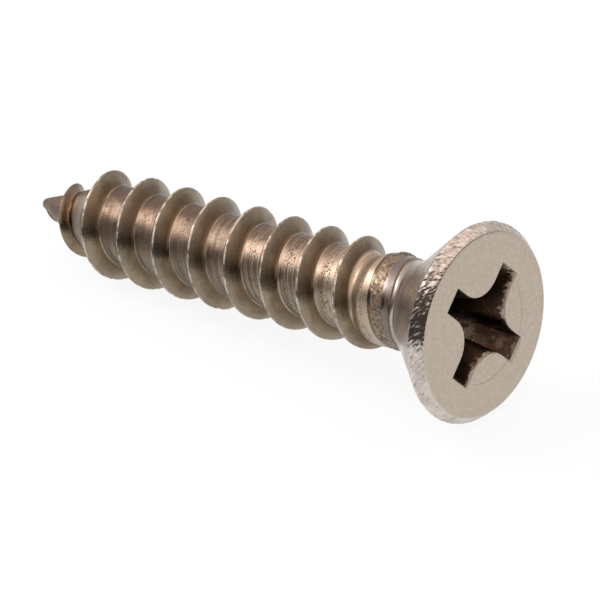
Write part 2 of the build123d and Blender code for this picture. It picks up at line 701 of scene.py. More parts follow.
@dataclass
class Head:
    """Neck, cone, rim and flat: half an outline, spun about the axis."""

    sizes: ScrewSizes
    wear: RimWear
    collar_edge: CollarEdge
    start_height: float
    columns: int = 384
    sectors: int = 16
    merge_distance: float = 0.002
    step_edge: float = 0.034
    flat_edge: float = 0.05
    flat_inner_radius: float = 2.95
    longest_step: float = 0.16
    neck_segments: int = 14
    edge_segments: int = 9
    corner_segments: int = 3

    def build(self) -> bmesh.types.BMesh:
        """Builds the head, from the collar's top to a ring on the flat.

        Returns:
            A mesh in upright millimetres, open at both ends.
        """
        mesh = bmesh.new()
        self._outline(mesh)
        bmesh.ops.spin(
            mesh,
            geom=mesh.verts[:] + mesh.edges[:],
            axis=(0, 0, 1),
            angle=FULL_TURN / self.sectors,
            steps=self.columns // self.sectors,
        )
        sector = everything(mesh)
        for count in range(1, self.sectors):
            turn = Matrix.Rotation(FULL_TURN * count / self.sectors, 3, "Z")
            bmesh.ops.rotate(mesh, verts=copied(mesh, sector), cent=(0, 0, 0), matrix=turn)
        bmesh.ops.remove_doubles(mesh, verts=mesh.verts[:], dist=self.merge_distance)
        for vertex in mesh.verts:
            outwards = Vector((vertex.co.x, vertex.co.y, 0)).normalized()
            vertex.co -= outwards * self.wear.change(vertex.co)
            angle = math.atan2(vertex.co.y, vertex.co.x)
            vertex.co.z = self.collar_edge.height(angle, vertex.co.z)
        LOG.info("head: %d faces in %d columns", len(mesh.faces), self.columns)
        return mesh

    def _outline(self, mesh: bmesh.types.BMesh) -> None:
        """Draws the outline with sharp corners, rounds them and divides its long sides.

        Args:
            mesh: the empty mesh that receives it.
        """
        s = self.sizes
        half_turn = math.radians(s.cone_angle / 4)
        neck_reach = s.neck_length - s.neck_straight
        rim_top = s.overall_length - s.edge_height
        corners = (
            (s.blank_radius, self.start_height, 0.0, 0),
            (s.blank_radius, s.collar_top, self.step_edge, self.corner_segments),
            (s.neck_radius, s.collar_top, 0.0, 0),
            (s.neck_radius, s.cone_bottom, neck_reach, self.neck_segments),
            (s.head_radius, s.rim_bottom, s.rim_land / 3, self.corner_segments),
            (s.head_radius, rim_top, s.edge_height / 2 * math.tan(half_turn), self.edge_segments),
            (s.face_radius, s.overall_length, self.flat_edge, self.corner_segments),
            (self.flat_inner_radius, s.overall_length, 0.0, 0),
        )
        points = [mesh.verts.new((radius, 0, height)) for radius, height, _, _ in corners]
        for pair in zip(points, points[1:]):
            mesh.edges.new(pair)
        for point, (_, _, reach, segments) in zip(points, corners):
            if reach:
                round_corner(mesh, point, reach, segments)
        for edge in mesh.edges[:]:
            cuts = int(edge.calc_length() / self.longest_step)
            if cuts:
                bmesh.ops.subdivide_edges(mesh, edges=[edge], cuts=cuts)


@dataclass
class Recess:
    """Cross recess for the driver: tapering walls, a rounded lip and a shallow floor."""

    sizes: ScrewSizes
    ring_columns: int
    ring_radius: float
    lobe_segments: int = 8
    side_cuts: int = 5
    wall_cuts: int = 14
    lip: float = 0.055
    lip_bend: float = 0.3
    guard: float = 0.03
    shift: tuple[float, float] = (0.03, 0.04)
    straight_from: float = 1.3

    def build(self) -> bmesh.types.BMesh:
        """Builds the recess and the part of the flat around it.

        Returns:
            A mesh in upright millimetres, open at its ring on the flat.
        """
        mesh = bmesh.new()
        s = self.sizes
        top = s.overall_length
        bend = self.lip * self.lip_bend
        mouth = (s.recess_span, s.wing_width, s.lobe_radius)
        floor = (s.recess_root_span, s.wing_root_width, s.lobe_root_radius)
        rings = [
            self._cross(mesh, mouth, self.lip + self.guard, top),
            self._cross(mesh, mouth, self.lip, top),
            self._cross(mesh, mouth, bend, top - bend),
            self._cross(mesh, mouth, 0.0, top - self.lip),
            self._cross(mesh, floor, 0.0, top - s.recess_depth),
        ]
        for upper, lower in zip(rings, rings[1:]):
            bmesh.ops.bridge_loops(mesh, edges=upper + lower)
        self._divide_walls(mesh)
        self._close_floor(mesh, rings[-1])
        circle = bmesh.ops.create_circle(
            mesh,
            segments=self.ring_columns,
            radius=self.ring_radius,
            matrix=Matrix.Translation((0, 0, top)),
        )["verts"]
        ring = list({edge for vertex in circle for edge in vertex.link_edges})
        bmesh.ops.triangle_fill(mesh, use_beauty=True, edges=ring + rings[0], normal=(0, 0, 1))
        LOG.info("recess: %d sides, %.2f mm deep", len(rings[0]), s.recess_depth)
        return mesh

    def _cross(self, mesh: bmesh.types.BMesh, outline: tuple, grow: float, height: float) -> list:
        """Draws a cross with rounded lobes between its wings.

        Args:
            mesh: the mesh that receives it.
            outline: span, wing width and lobe radius.
            grow: distance by which the outline stands outside these sizes.
            height: of the cross, above the point.

        Returns:
            The edges of the closed outline.
        """
        span, width, lobe = outline
        reach = span / 2 + grow
        side = width / 2 + grow
        before = set(mesh.edges)
        points = []
        inner = []
        for quarter in range(4):
            turn = Matrix.Rotation(math.radians(self.sizes.recess_turn + 90 * quarter), 3, "Z")
            places = ((reach, -side, 0), (reach, side, 0), (side, side, 0))
            corners = [turn @ Vector(place) for place in places]
            middle = Vector((*self.shift, height))
            points += [mesh.verts.new(corner + middle) for corner in corners]
            inner.append(points[-1])
        for pair in zip(points, points[1:] + points[:1]):
            mesh.edges.new(pair)
        for point in inner:
            round_corner(mesh, point, lobe - grow, self.lobe_segments)
        fresh = [edge for edge in mesh.edges if edge not in before]
        straight = [edge for edge in fresh if self._is_straight(edge, lobe)]
        bmesh.ops.subdivide_edges(mesh, edges=straight, cuts=self.side_cuts)
        return [edge for edge in mesh.edges if edge not in before]

    def _is_straight(self, edge: bmesh.types.BMEdge, lobe: float) -> bool:
        """Tells a wing's straight side from a short piece of a rounded lobe."""
        piece = lobe * math.pi / 2 / self.lobe_segments
        return edge.calc_length() > piece * self.straight_from

    def _divide_walls(self, mesh: bmesh.types.BMesh) -> None:
        """Divides the tapering walls from top to bottom.

        Args:
            mesh: the recess, whose walls run in one piece from lip to floor.
        """
        floor = self.sizes.overall_length - self.sizes.recess_depth
        top = self.sizes.overall_length - self.lip
        ends = {round(floor, 4), round(top, 4)}
        upright = [
            edge for edge in mesh.edges if {round(end.co.z, 4) for end in edge.verts} == ends
        ]
        bmesh.ops.subdivide_edges(mesh, edges=upright, cuts=self.wall_cuts, use_grid_fill=True)

    def _close_floor(self, mesh: bmesh.types.BMesh, ring: list) -> None:
        """Closes the floor with a shallow cone.

        Args:
            mesh: the recess, open at its floor.
            ring: edges of the floor's outline.
        """
        s = self.sizes
        floor = bmesh.ops.edgeloop_fill(mesh, edges=ring)["faces"]
        middle = bmesh.ops.poke(mesh, faces=floor)["verts"][0]
        depth = s.wing_root_width / 2 / math.tan(math.radians(s.floor_angle / 2))
        middle.co = Vector((*self.shift, s.overall_length - s.recess_depth - depth))


@dataclass
class Screw:
    """The whole screw: one closed skin with a finish for each of its zones."""

    sizes: ScrewSizes
    placement: Placement
    name: str = "screw_body"
    node: str = "screw"
    slot: str = "screw_steel"
    body: str = "root"
    sharp_angle: float = 42.0
    edge_slack: float = 1e-3
    face_slack: float = 0.01
    rim_slack: float = 0.02
    flat_slack: float = 0.05
    floor_reach: float = 0.3
    cone_guard: float = 0.3

    def build(self, finishes: dict[Zone, bpy.types.Material]) -> bpy.types.Object:
        """Builds the screw, dresses it and puts it in the scene.

        Args:
            finishes: a material for each zone.

        Returns:
            The finished piece.
        """
        form = ThreadForm(self.sizes)
        collar_edge = CollarEdge(self.sizes)
        shank = Shank(form, ShankWear(form), collar_edge)
        mesh = shank.build()
        head = Head(self.sizes, RimWear(self.sizes), collar_edge, shank.top)
        take_in(mesh, head.build())
        take_in(mesh, Recess(self.sizes, head.columns, head.flat_inner_radius).build())
        bmesh.ops.bridge_loops(mesh, edges=self._collar_rings(mesh))
        flat_ring = self._open_ring(mesh, self.sizes.overall_length)
        seam = {end for edge in flat_ring for end in edge.verts}
        bmesh.ops.remove_doubles(mesh, verts=list(seam), dist=head.merge_distance)
        bmesh.ops.recalc_face_normals(mesh, faces=mesh.faces[:])
        self._mark_zones(mesh, collar_edge, head.flat_inner_radius)
        mesh.transform(self.placement.matrix())
        data = bpy.data.meshes.new(self.name)
        mesh.to_mesh(data)
        loose = sum(1 for edge in mesh.edges if not edge.is_manifold)
        mesh.free()
        for zone in Zone:
            data.materials.append(finishes[zone])
        data.set_sharp_from_angle(angle=math.radians(self.sharp_angle))
        piece = bpy.data.objects.new(self.name, data)
        bpy.context.scene.collection.objects.link(piece)
        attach(piece, self.body)
        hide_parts(self.node)
        LOG.info("%s: %d faces, %d open edges", self.name, len(data.polygons), loose)
        return piece

    @staticmethod
    def _open_ring(mesh: bmesh.types.BMesh, height: float) -> list[bmesh.types.BMEdge]:
        """Finds an open ring.

        Args:
            mesh: the mesh with the ring.
            height: of the ring.

        Returns:
            The ring's edges.
        """
        return [
            edge
            for edge in mesh.edges
            if len(edge.link_faces) == 1
            and all(abs(end.co.z - height) < RING_SLACK for end in edge.verts)
        ]

    def _collar_rings(self, mesh: bmesh.types.BMesh) -> list[bmesh.types.BMEdge]:
        """Edges of the two open rings where the shank meets the head's collar."""
        top = self.sizes.cone_bottom
        return [
            edge for edge in mesh.edges if len(edge.link_faces) == 1 and edge.verts[0].co.z < top
        ]

    def _mark_zones(
        self, mesh: bmesh.types.BMesh, collar_edge: CollarEdge, recess_reach: float
    ) -> None:
        """Gives each face the slot of its zone, and smooth shading.

        Args:
            mesh: the closed skin, still upright.
            collar_edge: where the thread's zone ends.
            recess_reach: radius outside which no face belongs to the recess.
        """
        s = self.sizes
        face_edge = s.face_radius - self.face_slack
        floor = s.overall_length - s.recess_depth - self.floor_reach
        for face in mesh.faces:
            middle = face.calc_center_median()
            radius = math.hypot(middle.x, middle.y)
            face.smooth = True
            edge = collar_edge.height(math.atan2(middle.y, middle.x), s.collar_top)
            if middle.z < edge - self.edge_slack:
                face.material_index = Zone.THREAD
            elif middle.z > s.overall_length - self.flat_slack and radius < face_edge:
                face.material_index = Zone.FLAT
            elif radius > face_edge and middle.z > s.rim_bottom - self.rim_slack:
                face.material_index = Zone.RIM
            elif radius < recess_reach and middle.z > floor and self._inside_cone(middle):
                face.material_index = Zone.RECESS
            else:
                face.material_index = Zone.NECK

    def _inside_cone(self, place: Vector) -> bool:
        """Tells the recess from the cone outside it.

        Args:
            place: middle of a face of the head.

        Returns:
            Whether it lies well inside the cone's skin.
        """
        s = self.sizes
        gain = math.tan(math.radians(s.cone_angle / 2))
        cone = s.neck_radius + (place.z - s.cone_bottom) * gain
        return math.hypot(place.x, place.y) < min(cone, s.head_radius) - self.cone_guard


class Wiring:
    """Lays out and joins the nodes of one tree, and keeps its code short."""

    def __init__(self, tree: bpy.types.NodeTree) -> None:
        """Takes the tree that receives the nodes."""
        self.tree = tree

    def add(self, kind: str, settings: dict | None = None, **inputs: object) -> bpy.types.Node:
        """Adds a node.

        Args:
            kind: type of the node, as Blender names it.
            settings: properties of the node.
            **inputs: a number, colour or socket for each input, with spaces as underscores.

        Returns:
            The node.
        """
        node = self.tree.nodes.new(kind)
        for name, value in (settings or {}).items():
            setattr(node, name, value)
        for name, value in inputs.items():
            self.feed(node.inputs[name.replace("_", " ")], value)
        return node

    def feed(self, target: Socket, value: object) -> None:
        """Joins a socket to an input, or sets the input's own value.

        Args:
            target: the input.
            value: a socket, number, vector or colour.
        """
        if isinstance(value, bpy.types.NodeSocket):
            self.tree.links.new(value, target)
        elif isinstance(value, tuple) and len(value) == 3 and target.type == "RGBA":
            target.default_value = (*value, 1)
        else:
            target.default_value = value

    def calculate(self, operation: str, *values: object) -> Socket:
        """Adds a Math node.

        Args:
            operation: what it does, as Blender names it.
            *values: a number or socket for each of its inputs.

        Returns:
            Its result.
        """
        node = self.add("ShaderNodeMath", {"operation": operation})
        for target, value in zip(node.inputs, values):
            self.feed(target, value)
        return node.outputs[0]

    def product(self, first: object, *others: object) -> Socket:
        """Multiplies values, from the first to the last.

        Args:
            first: a number or socket.
            *others: one or more of the same.

        Returns:
            Their product.
        """
        result = first
        for value in others:
            result = self.calculate("MULTIPLY", result, value)
        return result

    def apart(self, first: object, second: object) -> Socket:
        """Distance between two values."""
        return self.calculate("ABSOLUTE", self.calculate("SUBTRACT", first, second))

    def fit(
        self, value: Socket, low: float, high: float, to_low: float = 0.0, to_high: float = 1.0
    ) -> Socket:
        """Softly maps a value from one range to another, and keeps it inside.

        Args:
            value: what is mapped.
            low: where the range starts.
            high: where it ends.
            to_low: result at its start.
            to_high: result at its end.

        Returns:
            The mapped value.
        """
        inputs = {"From_Min": low, "From_Max": high, "To_Min": to_low, "To_Max": to_high}
        soft = {"interpolation_type": "SMOOTHSTEP"}
        return self.add("ShaderNodeMapRange", soft, Value=value, **inputs).outputs[0]

    def fall(self, value: Socket, low: float, high: float) -> Socket:
        """Falls softly from 1 to 0 over a range of the value."""
        return self.fit(value, low, high, 1.0, 0.0)

    def within(self, value: Socket, span: Span) -> Socket:
        """Share, from 0 to 1, by which a value is inside a span."""
        rise = self.fit(value, span.rise_from, span.rise_to)
        return self.product(rise, self.fall(value, span.fall_from, span.fall_to))

    def blend(self, share: object, first: object, second: object) -> Socket:
        """Mixes two colours.

        Args:
            share: of the second colour, from 0 to 1.
            first: a colour or socket.
            second: a colour or socket.

        Returns:
            The mixed colour.
        """
        node = self.add("ShaderNodeMix", {"data_type": "RGBA"})
        inputs = (node.inputs[0], node.inputs[6], node.inputs[7])
        for target, value in zip(inputs, (share, first, second)):
            self.feed(target, value)
        return node.outputs[2]

    def noise(self, place: Socket, size: float, detail: float = 3.0) -> Socket:
        """Cloudy noise whose lumps are about as large as size."""
        noise = self.add("ShaderNodeTexNoise", None, Vector=place, Scale=1 / size, Detail=detail)
        return noise.outputs[0]

    def vector(self, x: object, y: object, z: object) -> Socket:
        """Joins three values into one vector."""
        return self.add("ShaderNodeCombineXYZ", None, X=x, Y=y, Z=z).outputs[0]

    def group(self, group: bpy.types.NodeTree, **inputs: object) -> Socket:
        """Places a shared effect and gives its first output."""
        return self.add("ShaderNodeGroup", {"node_tree": group}, **inputs).outputs[0]


class Effect(Enum):
    """Surface effects that more than one finish uses."""

    MOTTLING = "mottling"
    PITTING = "pitting"
    DRAWN_LINES = "drawn_lines"


@dataclass
class Effects:
    """Builds each shared effect once, as a group of nodes."""

    made: dict[Effect, bpy.types.NodeTree]

    def __getitem__(self, effect: Effect) -> bpy.types.NodeTree:
        """Gives an effect, built when it is first asked for.

        Args:
            effect: which one.

        Returns:
            Its group of nodes.
        """
        makers = {
            Effect.MOTTLING: self._mottling,
            Effect.PITTING: self._pitting,
            Effect.DRAWN_LINES: self._drawn_lines,
        }
        if effect not in self.made:
            self.made[effect] = makers[effect]()
        return self.made[effect]

    @staticmethod
    def _open(
        effect: Effect, numbers: dict[str, float]
    ) -> tuple[Wiring, bpy.types.Node, bpy.types.Node]:
        """Starts a group that takes a place and some numbers and gives one mask.

        Args:
            effect: which one.
            numbers: name and usual value of each number.

        Returns:
            The group's wiring, its input node and its output node.
        """
        tree = bpy.data.node_groups.new(effect.value, "ShaderNodeTree")
        tree.interface.new_socket("Place", in_out="INPUT", socket_type="NodeSocketVector")
        for name, value in numbers.items():
            socket = tree.interface.new_socket(name, in_out="INPUT", socket_type="NodeSocketFloat")
            socket.default_value = value
        tree.interface.new_socket("Mask", in_out="OUTPUT", socket_type="NodeSocketFloat")
        return Wiring(tree), tree.nodes.new("NodeGroupInput"), tree.nodes.new("NodeGroupOutput")

    def _mottling(self) -> bpy.types.NodeTree:
        """Soft cloudy patches, warped so that their edges run unevenly.

        Returns:
            The group of nodes.
        """
        numbers = {"Scale": 1.0, "Low": 0.32, "High": 0.68}
        wiring, given, result = self._open(Effect.MOTTLING, numbers)
        inputs = {"Vector": given.outputs["Place"], "Scale": given.outputs["Scale"]}
        swirl = wiring.add("ShaderNodeTexNoise", None, Detail=2.0, Distortion=0.4, **inputs)
        soft = {"interpolation_type": "SMOOTHSTEP"}
        spread = wiring.add("ShaderNodeMapRange", soft, Value=swirl.outputs[0])
        wiring.feed(spread.inputs["From Min"], given.outputs["Low"])
        wiring.feed(spread.inputs["From Max"], given.outputs["High"])
        wiring.feed(result.inputs["Mask"], spread.outputs[0])
        return wiring.tree

    def _pitting(self) -> bpy.types.NodeTree:
        """Small uneven pits, crowded in some places and absent in others.

        Returns:
            The group of nodes.
        """
        wiring, given, result = self._open(Effect.PITTING, {"Scale": 8.0, "Amount": 0.5})
        cloud = {"Vector": given.outputs["Place"], "Detail": 2.0}
        scale = given.outputs["Scale"]
        lumps = wiring.add("ShaderNodeTexNoise", None, Scale=scale, Roughness=0.6, **cloud)
        wide = wiring.product(scale, 0.22)
        crowd = wiring.add("ShaderNodeTexNoise", None, Scale=wide, **cloud).outputs[0]
        reach = wiring.calculate("MULTIPLY_ADD", crowd, 0.35, 0.60)
        level = wiring.calculate("MULTIPLY_ADD", given.outputs["Amount"], -0.25, reach)
        above = wiring.calculate("SUBTRACT", lumps.outputs[0], level)
        wiring.feed(result.inputs["Mask"], wiring.fit(above, 0.0, 0.07))
        return wiring.tree

    def _drawn_lines(self) -> bpy.types.NodeTree:
        """Fine lines along the first axis of the place, as wide as the scale says.

        Returns:
            The group of nodes.
        """
        numbers = {"Scale": 20.0, "Stretch": 12.0}
        wiring, given, result = self._open(Effect.DRAWN_LINES, numbers)
        squash = wiring.calculate("DIVIDE", 1.0, given.outputs["Stretch"])
        axes = wiring.add("ShaderNodeSeparateXYZ", None, Vector=given.outputs["Place"]).outputs
        flow = wiring.vector(wiring.product(axes[0], squash), axes[1], axes[2])
        inputs = {"Vector": flow, "Scale": given.outputs["Scale"]}
        streaks = wiring.add("ShaderNodeTexNoise", None, Detail=3.0, **inputs)
        wiring.feed(result.inputs["Mask"], wiring.fit(streaks.outputs[0], 0.36, 0.66))
        return wiring.tree


@dataclass(frozen=True)
class Spot:
    """The nodes that tell where on the upright screw a point of the surface is.

    Lengths are in millimetres. The turn about the axis runs from -0.5 to 0.5 of a full turn.
    """

    place: Socket
    height: Socket
    radius: Socket
    turn: Socket


@dataclass
class Surface:
    """A finish as built up so far: its colour, its roughness and its relief."""

    wiring: Wiring
    colour: Socket
    roughness: Socket
    relief: Socket

    def paint(self, share: object, colour: object) -> None:
        """Lays a share of a colour over the surface."""
        self.colour = self.wiring.blend(share, self.colour, colour)

    def roughen(self, share: object, amount: object) -> None:
        """Adds a share of an amount to the roughness."""
        self.roughness = self.wiring.calculate("MULTIPLY_ADD", share, amount, self.roughness)

    def lift(self, share: object, height: object) -> None:
        """Raises the surface by a share of a height in millimetres, or sinks it below 0."""
        self.relief = self.wiring.calculate("MULTIPLY_ADD", share, height, self.relief)


@dataclass(frozen=True)
class Steel:
    """What every finish of the screw shares: bare warm steel with a dull film."""

    placement: Placement
    effects: Effects
    name: str
    clean: Colour
    film: Colour
    pit: Colour
    smooth: float
    rough: float
    film_size: float = 0.9
    pit_size: float = 0.12
    pit_amount: float = 0.35
    pit_depth: float = 0.008
    pit_shade: float = 0.6
    pit_roughness: float = 0.2
    grain_size: float = 0.11
    grain_depth: float = 0.0025
    grain_shade: float = 0.28

    def material(self) -> bpy.types.Material:
        """Builds the material.

        Returns:
            Steel whose colour, gloss and relief change over the surface.
        """
        material = bpy.data.materials.new(self.name)
        material.use_nodes = True
        wiring = Wiring(material.node_tree)
        shader = material.node_tree.nodes["Principled BSDF"]
        shader.inputs["Metallic"].default_value = 1.0
        spot = self._spot(wiring)
        film = self._effect(wiring, Effect.MOTTLING, spot.place, Scale=1 / self.film_size)
        amount = self._pit_share(wiring, spot)
        pits = self._effect(
            wiring, Effect.PITTING, spot.place, Scale=1 / self.pit_size, Amount=amount
        )
        grain = wiring.noise(spot.place, self.grain_size)
        surface = Surface(
            wiring,
            colour=wiring.blend(film, self.clean, self.film),
            roughness=wiring.fit(film, 0.0, 1.0, self.smooth, self.rough),
            relief=wiring.product(grain, self.grain_depth),
        )
        surface.paint(wiring.fit(grain, 0.35, 0.75, 0.0, self.grain_shade), self.film)
        self._marks(wiring, spot, surface)
        surface.paint(wiring.product(pits, self.pit_shade), self.pit)
        surface.lift(pits, -self.pit_depth)
        surface.roughen(pits, self.pit_roughness)
        bump = wiring.add(
            "ShaderNodeBump", None, Height=surface.relief, Distance=MILLIMETRE, Strength=1.0
        )
        wiring.feed(shader.inputs["Base Color"], surface.colour)
        wiring.feed(shader.inputs["Roughness"], surface.roughness)
        wiring.feed(shader.inputs["Normal"], bump.outputs[0])
        return material

    def _effect(self, wiring: Wiring, effect: Effect, place: Socket, **numbers: object) -> Socket:
        """Places one of the shared effects and gives its mask."""
        return wiring.group(self.effects[effect], Place=place, **numbers)

    def _spot(self, wiring: Wiring) -> Spot:
        """Turns the piece's coordinates back to upright millimetres.

        Args:
            wiring: the material's nodes.

        Returns:
            Where the point is.
        """
        mapping = wiring.add(
            "ShaderNodeMapping",
            {"vector_type": "TEXTURE"},
            Vector=wiring.add("ShaderNodeTexCoord").outputs["Object"],
            Location=tuple(self.placement.tip()),
            Rotation=tuple(self.placement.turn().to_euler()),
            Scale=(MILLIMETRE, MILLIMETRE, MILLIMETRE),
        ).outputs[0]
        axes = wiring.add("ShaderNodeSeparateXYZ", None, Vector=mapping).outputs
        square = wiring.product(axes[1], axes[1])
        squares = wiring.calculate("MULTIPLY_ADD", axes[0], axes[0], square)
        radius = wiring.calculate("SQRT", squares)
        angle = wiring.calculate("ARCTAN2", axes[1], axes[0])
        return Spot(mapping, axes[2], radius, wiring.calculate("DIVIDE", angle, FULL_TURN))

    def _pit_share(self, wiring: Wiring, spot: Spot) -> object:
        """How crowded the pits are: the same all over, unless a finish says otherwise."""
        return self.pit_amount

    def _marks(self, wiring: Wiring, spot: Spot, surface: Surface) -> None:
        """Adds the marks of one zone: none, unless a finish says otherwise."""


@dataclass(frozen=True)
class Thread:
    """The nodes that tell where on the unwound thread a point is, and its lines and patches.

    Distances are in millimetres along the axis, from the nearest crest.
    """

    towards_head: Socket
    reach: Socket
    share: Socket
    root: Socket
    lines: Socket
    patch: Socket


@dataclass(frozen=True)
class ThreadSteel(Steel):
    """Rolled thread: crests with a painted highlight, brown flanks, drawn lines along the root.

    The root is painted darker near the point and lighter towards the head as painted shade and
    highlight, with a painted olive reflection of the floor below and a painted copper highlight
    on one side. The first full turn has a rust-brown stain, and the run-out is coarsely pitted.
    """

    # painted shade in the groove at the foot of each flank, with a darker film there
    foot: Colour = (0.13, 0.085, 0.05)
    root: Colour = (0.36, 0.29, 0.225)
    streak: Colour = (0.16, 0.11, 0.085)
    # painted shade: colour of the root near the point, where its highlight is dimmer
    root_shade_near_point: Colour = (0.14, 0.10, 0.078)
    # painted reflection: olive tone of the floor on the root's underside
    olive_floor_reflection: Colour = (0.36, 0.32, 0.235)
    # painted highlight: copper colour on one side of the root
    copper_highlight: Colour = (0.34, 0.245, 0.18)
    # painted highlight: colour of the root near the head
    root_highlight_near_head: Colour = (0.54, 0.43, 0.325)
    top: Colour = (0.30, 0.245, 0.19)
    # pale colour of the painted highlights on the crests and at each root's edge
    crest: Colour = (0.66, 0.61, 0.54)
    pale: Colour = (0.42, 0.375, 0.315)
    stain: Colour = (0.20, 0.10, 0.05)
    point: Colour = (0.17, 0.125, 0.10)
    collar: Colour = (0.20, 0.16, 0.15)
    runout: Colour = (0.27, 0.205, 0.15)
    foot_reach: float = 0.47
    line_depth: float = 0.0045
    line_scale: float = 9.0
    line_stretch: float = 22.0
    line_radius: float = 2.0
    patch_size: float = 0.7
    crest_highlight_patch_size: float = 0.35
    # side about the axis, as a share of a turn, that gets the painted floor reflection
    olive_reflection_side: Span = Span(-0.29, -0.21, -0.12, 0.0)
    # side about the axis, as a share of a turn, that gets the painted copper highlight
    copper_highlight_side: Span = Span(-0.46, -0.42, -0.37, -0.33)
    first_turn: Span = Span(1.5, 1.8, 3.3, 3.8)
    stain_reach: Span = Span(0.16, 0.26, 0.40, 0.52)
    stain_side: Span = Span(-0.46, -0.42, -0.33, -0.24)
    pale_side: Span = Span(-0.47, -0.40, -0.18, -0.06)
    scar_scale: float = 7.0
    scar_depth: float = 0.005

    def _winding(self, wiring: Wiring, spot: Spot) -> tuple[Socket, Socket]:
        """Unwinds the thread.

        Args:
            wiring: the material's nodes.
            spot: where the point is.

        Returns:
            Height in pitches, and the distance to the nearest crest in pitches.
        """
        sizes = self.placement.sizes
        pitches = wiring.calculate("DIVIDE", spot.height, sizes.pitch)
        wound = wiring.calculate("SUBTRACT", pitches, spot.turn)
        wound = wiring.calculate("ADD", wound, sizes.start_angle / 360)
        return pitches, wiring.calculate("WRAP", wound, 0.5, -0.5)

    def _pit_share(self, wiring: Wiring, spot: Spot) -> Socket:
        """Crowds the pits midway between the crests, and more of them towards the head.

        Args:
            wiring: the material's nodes.
            spot: where the point is.

        Returns:
            How crowded they are there.
        """
        distance = wiring.calculate("ABSOLUTE", self._winding(wiring, spot)[1])
        midway = wiring.fit(distance, 0.30, 0.42, 0.8, 2.1)
        fewest, most = self.pit_amount * 0.8, self.pit_amount * 1.4
        return wiring.product(midway, wiring.fit(spot.height, 3.0, 21.0, fewest, most))

    def _marks(self, wiring: Wiring, spot: Spot, surface: Surface) -> None:
        """Shades the thread from root to crest and draws its lines.

        Args:
            wiring: the material's nodes.
            spot: where the point is.
            surface: the finish, which gains the marks.
        """
        thread = self._thread(wiring, spot)
        self._shade_feet(wiring, thread, surface)
        self._shade_roots(wiring, spot, thread, surface)
        surface.paint(wiring.product(wiring.fit(thread.share, 0.55, 0.9), 0.6), self.top)
        self._mark_first_turn(wiring, spot, thread, surface)
        self._mark_runout(wiring, spot, thread, surface)
        self._paint_crest_highlight(wiring, spot, thread, surface)
        surface.roughen(thread.lines, 0.06)
        surface.roughen(thread.root, wiring.fit(spot.height, 8.0, 16.0, 0.2, 0.12))
        surface.lift(wiring.product(thread.lines, thread.root), self.line_depth)
        off_root = wiring.calculate("SUBTRACT", 1.0, thread.root)
        surface.lift(wiring.product(thread.lines, off_root), self.line_depth * 0.4)

    def _thread(self, wiring: Wiring, spot: Spot) -> Thread:
        """Measures the point's place on the thread.

        Args:
            wiring: the material's nodes.
            spot: where the point is.

        Returns:
            The nodes that the marks are laid out with.
        """
        sizes = self.placement.sizes
        pitches, offset = self._winding(wiring, spot)
        turns = wiring.calculate("SUBTRACT", pitches, offset)
        towards_head = wiring.product(offset, sizes.pitch)
        flow = wiring.vector(
            wiring.product(turns, FULL_TURN * self.line_radius), towards_head, spot.radius
        )
        reach = wiring.calculate("ABSOLUTE", towards_head)
        scales = {"Scale": self.line_scale, "Stretch": self.line_stretch}
        return Thread(
            towards_head,
            reach,
            share=wiring.fit(spot.radius, sizes.core_radius, sizes.thread_radius),
            root=wiring.fit(reach, self.foot_reach - 0.03, self.foot_reach + 0.05),
            lines=self._effect(wiring, Effect.DRAWN_LINES, flow, **scales),
            patch=wiring.noise(flow, self.patch_size),
        )

    def _shade_feet(self, wiring: Wiring, thread: Thread, surface: Surface) -> None:
        """Darkens the foot of each flank in patches: painted shade in the groove, with a darker
        film there.

        Args:
            wiring: the material's nodes.
            thread: the point's place on the thread.
            surface: the finish, which gains the marks.
        """
        foot = wiring.fit(thread.reach, self.foot_reach - 0.30, self.foot_reach - 0.03)
        patchy = wiring.fit(thread.patch, 0.3, 0.6, 0.75, 1.0)
        surface.paint(wiring.product(foot, patchy), self.foot)

    def _shade_roots(
        self, wiring: Wiring, spot: Spot, thread: Thread, surface: Surface
    ) -> None:
        """Colours the root with painted shade, highlights and a floor reflection along its length
        and around its sides, and paints a highlight line at its edge.

        Args:
            wiring: the material's nodes.
            spot: where the point is.
            thread: the point's place on the thread.
            surface: the finish, which gains the marks.
        """
        between_lines = wiring.fit(thread.lines, 0.15, 0.85, 0.85, 0.0)
        drawn = wiring.product(between_lines, wiring.fit(spot.height, 16.5, 19.0, 1.0, 0.9))
        colour = wiring.blend(drawn, self.root, self.streak)
        # painted shade: the root darkens towards the point
        colour = wiring.blend(
            wiring.fit(spot.height, 7.0, 17.0, 0.9, 0.0), colour, self.root_shade_near_point
        )
        # painted reflection of the floor on the root's underside, stronger along its lines
        olive = wiring.product(
            wiring.within(spot.turn, self.olive_reflection_side),
            wiring.fit(thread.lines, 0.0, 1.0, 0.15, 0.75),
        )
        colour = wiring.blend(olive, colour, self.olive_floor_reflection)
        # painted highlight: copper on one side of the root, in patches, fading near the head
        copper = wiring.product(
            wiring.within(spot.turn, self.copper_highlight_side),
            wiring.fit(thread.patch, 0.38, 0.58, 0.1, 0.75),
            wiring.fit(spot.height, 16.0, 19.0, 1.0, 0.2),
        )
        colour = wiring.blend(copper, colour, self.copper_highlight)
        # painted highlight: the root lightens towards the head
        fresh = wiring.fit(spot.height, 16.5, 18.5, 0.0, 0.65)
        colour = wiring.blend(fresh, colour, self.root_highlight_near_head)
        surface.paint(wiring.product(thread.root, 0.95), colour)
        low = wiring.fall(spot.radius, 1.80, 1.92)
        surface.paint(wiring.product(low, wiring.fit(spot.height, 17.6, 18.4)), colour)
        # painted highlight: a pale line where the root meets each flank, broken in patches
        gap = wiring.apart(thread.reach, self.foot_reach + 0.02)
        broken = wiring.fit(thread.patch, 0.35, 0.6, 0.0, 0.45)
        surface.paint(wiring.product(wiring.fall(gap, 0.0, 0.03), broken), self.crest)

